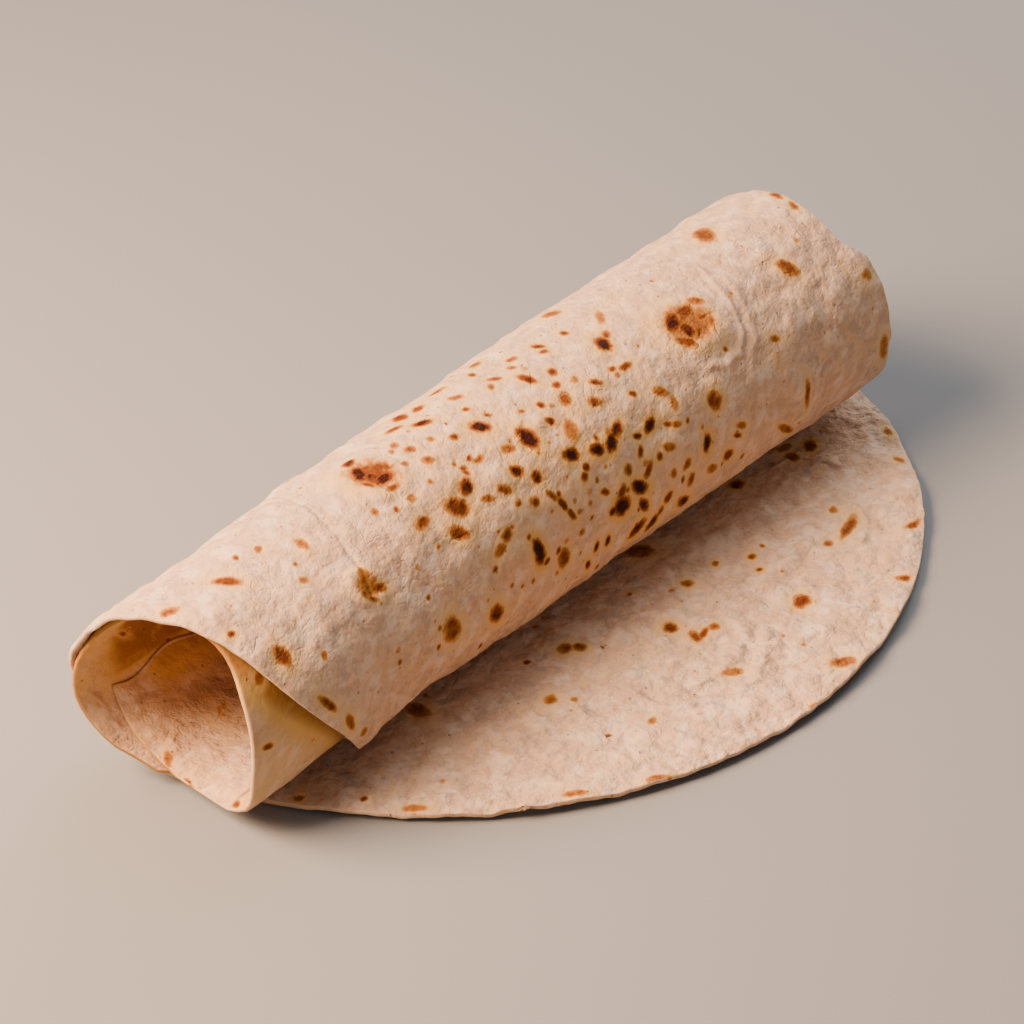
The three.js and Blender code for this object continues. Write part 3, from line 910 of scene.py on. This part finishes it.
# %% The crust's own recipe
def bake(material, side, shift, mottled, lumpy, outward):
    """Gives a face its crust. shift moves the noise, mottled and lumpy say how uneven it is,
    and outward is 1 where the ridges stand up from the face and 0 where they are left out."""
    n = Nodes(material)
    sheet = n.add("ShaderNodeUVMap", {"uv_map": "sheet"}).outputs[0]
    mapping = n.add("ShaderNodeMapping", None, Vector=sheet, Scale=(1000, 1000, 1000),
                    Location=(shift, shift * 0.7, shift))
    at = mapping.outputs[0]
    # the mask: a warm tint, and a painted glow and painted shade inside the mouth and beside the
    # overlapping edge
    warmth_glow_and_shade = n.add("ShaderNodeAttribute", {"attribute_name": side + "_warmth_glow_and_shade"}).outputs["Fac"]
    freckled = n.add("ShaderNodeAttribute", {"attribute_name": "freckled"}).outputs["Fac"]
    wander = n.math("SUBTRACT", n.noise(at, 1.9, 4, 0.62), 0.5)
    blotch = n.math("SUBTRACT", n.noise(at, 2.4, 4, 0.62), 0.5)

    # the two nearest marks: how toasted they are here, and how far their halos reach
    near_mark, halo, toast = 0.0, 0.0, 0.0
    for number in range(2):
        known = n.add("ShaderNodeAttribute", {"attribute_name": f"{side}_mark_{number}"})
        part = n.add("ShaderNodeSeparateXYZ", None, Vector=known.outputs["Color"]).outputs
        flat_place = n.add("ShaderNodeCombineXYZ", None, X=part[0], Y=part[1]).outputs[0]
        away = n.add("ShaderNodeVectorMath", {"operation": "LENGTH"}, i0=flat_place).outputs["Value"]
        dark = known.outputs["Alpha"]
        softness = n.math("ADD", n.math("MULTIPLY", part[2], SOFTNESS), LEAST_SOFTNESS)
        edge = n.math("DIVIDE", n.math("SUBTRACT", part[2], away), softness)
        edge = n.math("ADD", edge, n.math("MULTIPLY", wander, RAGGED))
        rise = n.ramp(edge, -0.7, 1.15)
        level = n.math("ADD", n.math("MULTIPLY", dark, TOAST), LEAST_TOAST)
        level = n.math("ADD", level, n.math("MULTIPLY", blotch, BLOTCHY))
        toast = n.math("MAXIMUM", toast, n.math("MULTIPLY", rise, level))
        ring = n.math("MULTIPLY", n.ramp(edge, -3.3, -0.25), n.math("ADD", dark, 0.5))
        halo = n.math("MAXIMUM", halo, ring)
        near_mark = n.math("MAXIMUM", near_mark, n.ramp(edge, -3.0, -0.5))

    # pale ground: cream, mottled with grey rose, floury near the marks
    plain = n.math("SUBTRACT", 1.0, n.math("MULTIPLY", near_mark, 0.75))
    broad = n.ramp(n.noise(at, 24, 3), 0.36, 0.62, 0.55)
    patch = n.ramp(n.noise(at, 4.2, 6, 0.7), 0.45, 0.58)
    mottle = n.math("MULTIPLY", patch, n.math("MULTIPLY", n.math("ADD", broad, 0.3), mottled))
    ground = n.mix(n.math("MULTIPLY", mottle, plain), CREAM, ROSY)
    fleck = n.ramp(n.noise(at, 2.0, 4, 0.62), 0.5, 0.7, 0.5 * mottled)
    ground = n.mix(n.math("MULTIPLY", fleck, plain), ground, OLIVE)
    flour = n.ramp(n.noise(at, 6.5, 5, 0.62), 0.46, 0.64, 0.7)
    flour = n.math("MAXIMUM", flour, n.math("MULTIPLY", near_mark, 0.5))
    ground = n.mix(flour, ground, FLOURY)
    # warm patches; inside the mouth they add to the painted glow
    gilt = n.math("MULTIPLY", warmth_glow_and_shade, n.ramp(n.noise(at, 12, 4), 0.3, 0.7))
    ground = n.mix(gilt, ground, GOLD_CREAM)
    # painted glow, where the mask passes one half
    ground = n.mix(n.ramp(warmth_glow_and_shade, 0.5, 0.85, 0.85), ground, PAINTED_GLOW)
    # painted shade, where the mask nears one
    ground = n.mix(n.ramp(warmth_glow_and_shade, 0.8, 1.0, 0.8), ground, PAINTED_SHADE)
    thin = n.ramp(n.noise(at, 8.5, 3, 0.5), 0.6, 0.72, 0.45)
    ground = n.mix(thin, ground, GOLD_CREAM)
    ground = n.mix(n.math("MULTIPLY", halo, HALO, clamp=True), ground, GOLD_CREAM)

    # small freckles, thick where the bread is freckled
    cells = n.add("ShaderNodeTexVoronoi", {"feature": "F1", "voronoi_dimensions": "2D"},
                  Vector=at, Scale=FRECKLE_CELLS, Randomness=1.0)
    chance = n.add("ShaderNodeSeparateColor", None, Color=cells.outputs["Color"]).outputs
    some = n.math("LESS_THAN", chance[0], n.math("ADD", n.math("MULTIPLY", freckled, 0.3), 0.02))
    radius = n.math("ADD", n.math("MULTIPLY", chance[1], 0.9), 0.35)
    away = n.math("DIVIDE", cells.outputs["Distance"], FRECKLE_CELLS)
    speck = n.math("ADD", n.math("SUBTRACT", radius, away), wander)
    speck = n.math("MULTIPLY", n.ramp(speck, -0.5, 0.9), some)
    speck = n.math("MULTIPLY", speck, n.math("ADD", n.math("MULTIPLY", chance[2], 0.6), 0.15))
    toast = n.math("MAXIMUM", toast, speck)

    crust = n.mix(n.ramp(toast, 0.01, 0.14), ground, STRAW)
    crust = n.mix(n.ramp(toast, 0.12, 0.32), crust, GOLDEN)
    crust = n.mix(n.ramp(toast, 0.34, 0.64), crust, BROWN)
    crust = n.mix(n.ramp(toast, 0.7, 0.95), crust, CHAR)

    # pores, each a pinprick
    holes = n.add("ShaderNodeTexVoronoi", {"feature": "F1", "voronoi_dimensions": "2D"},
                  Vector=at, Scale=PORE_CELLS, Randomness=1.0)
    rare = n.add("ShaderNodeSeparateColor", None, Color=holes.outputs["Color"]).outputs[0]
    pit = n.ramp(n.math("DIVIDE", holes.outputs["Distance"], PORE_CELLS), 0.5, 0.2)
    pit = n.math("MULTIPLY", pit, n.math("LESS_THAN", rare, 0.22))
    crust = n.mix(n.math("MULTIPLY", pit, 0.5), crust, BROWN)
    n.put(n.shader, "Base Color", crust)

    # relief in millimetres: dimples, grain, and creases where the cold sheet has bent
    lumps = n.math("MULTIPLY", n.noise(at, 8, 2, 0.45), LUMPS * lumpy)
    dimples = n.math("MULTIPLY", n.noise(at, 3.4, 3, 0.55), DIMPLED * lumpy)
    grain = n.math("MULTIPLY", n.noise(at, 0.9, 3, 0.6), GRAIN)
    line = n.math("ABSOLUTE", n.math("SUBTRACT", n.noise(at, 15, 1, 0.4), 0.5))
    where = n.ramp(n.noise(at, 11, 1), 0.6, 0.7)
    crease = n.math("MULTIPLY", n.ramp(line, 0.022, 0.0), n.math("MULTIPLY", where, CREASE))
    surface = n.math("ADD", n.math("ADD", lumps, dimples), n.math("ADD", grain, crease))
    line = n.math("ABSOLUTE", n.math("SUBTRACT", n.noise(at, 6, 2, 0.5), 0.5))
    where = n.ramp(n.noise(at, 19, 1), 0.42, 0.6)
    wrinkle = n.math("MULTIPLY", n.ramp(line, 0.035, 0.0), n.math("MULTIPLY", where, WRINKLE))
    surface = n.math("ADD", surface, wrinkle)
    smoother = n.ramp(warmth_glow_and_shade, 0.25, 0.6, 0.65)  # bumps flatten as the mask rises, most under the painted glow and shade
    surface = n.math("MULTIPLY", surface, n.math("SUBTRACT", 1.0, smoother))

    # the fine ridge nearest to here: a bell across it, faded out at both ends of the line
    ridge = n.add("ShaderNodeAttribute", {"attribute_name": "ridge"})
    part = n.add("ShaderNodeSeparateXYZ", None, Vector=ridge.outputs["Color"]).outputs
    crest = n.math("EXPONENT", n.math("MULTIPLY", n.math("MULTIPLY", part[0], part[0]), -1.0))
    crest = n.math("MULTIPLY", crest, n.ramp(n.math("MINIMUM", part[1], part[2]), -1.5, 3.0))
    crest = n.math("MULTIPLY", crest, n.math("MULTIPLY", ridge.outputs["Alpha"], outward))
    surface = n.math("ADD", surface, crest)
    surface = n.math("SUBTRACT", surface, n.math("MULTIPLY", pit, PORE))
    bump = n.add("ShaderNodeBump", None, Height=surface, Strength=1.0, Distance=0.001)
    n.put(n.shader, "Normal", bump.outputs[0])

    n.put(n.shader, "Roughness", 0.85)
    n.put(n.shader, "Subsurface Weight", 0.15)
    n.put(n.shader, "Subsurface Radius", (1.0, 0.7, 0.5))
    n.put(n.shader, "Subsurface Scale", 0.002)
    n.put(n.shader, "Specular IOR Level", 0.15)


for slot_name, side, shift, mottled, lumpy, outward in (
    ("crust_outside", "outer", 0.0, 1.5, 1.1, 1.0),
    ("crust_inside", "inner", 731.0, 1.5, 1.9, 1.0),
    ("crust_rim", "outer", 412.0, 0.4, 0.6, 0.0),
):
    bake(bpy.data.materials[slot_name], side, shift, mottled, lumpy, outward)
print("crusts baked:", [m.name for m in bread.data.materials])

# %% [markdown]
# ## The floor and the light
#
# The bread is shown on a plain pale floor. One broad, warm light stands high to the left,
# on the side of the roll away from the flap, so that the roll's front and the flap beside
# it fall into soft shade. Three weaker and paler ones, from above, from the right and from
# the front, fill the shade in, and the room itself gives a faint even light.

# %% Floor
FLOOR_SIZE, FLOOR_DROP = 6, 0.0003  # the drop keeps the floor clear of the bread's underside
deselect_all()
bpy.ops.mesh.primitive_plane_add(size=FLOOR_SIZE, location=(0, 0, -FLOOR_DROP))
floor = bpy.context.object
floor.name = "floor"
paper = bpy.data.materials.new("floor_paper")
floor_nodes = Nodes(paper)
floor_nodes.put(floor_nodes.shader, "Base Color", tone(137, 138, 139))
floor_nodes.put(floor_nodes.shader, "Roughness", 0.9)
floor.data.materials.append(paper)
print("the floor lies at", floor.location.z, "m")


# %% Lights
def softbox(name, to_right, above, away, size, power, colour):
    """A square light that faces the bread. It stands to_right degrees to the right of the
    way that the camera faces, and above degrees up."""
    bearing = heading - math.radians(to_right)
    up = math.radians(above)
    toward = Vector((math.cos(bearing) * math.cos(up), math.sin(bearing) * math.cos(up), math.sin(up)))
    bpy.ops.object.light_add(type="AREA", location=LOOK_AT + toward * away)
    light = bpy.context.object
    light.name = name
    light.data.size = size
    light.data.energy = power
    light.data.color = colour
    light.rotation_euler = (-toward).to_track_quat("-Z", "Y").to_euler()
    return light


softbox("window", -108, 43, 0.85, 0.5, 35.5, (1.0, 0.655, 0.42))
softbox("overhead", 14, 82, 0.9, 0.5, 2.2, (0.98, 0.95, 0.95))
softbox("right fill", 30, 24, 1.2, 0.7, 9.7, (0.97, 0.95, 0.97))
softbox("front fill", -213, 18, 1.5, 1.0, 0.8, (1.0, 0.93, 0.92))
world = bpy.data.worlds.new("room")
bpy.context.scene.world = world
world.use_nodes = True
background = world.node_tree.nodes["Background"]
background.inputs["Color"].default_value = (0.97, 0.96, 0.97, 1)
background.inputs["Strength"].default_value = 0.2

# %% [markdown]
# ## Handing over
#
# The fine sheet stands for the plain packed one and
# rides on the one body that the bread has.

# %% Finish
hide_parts("lavash")
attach(bread, "root")
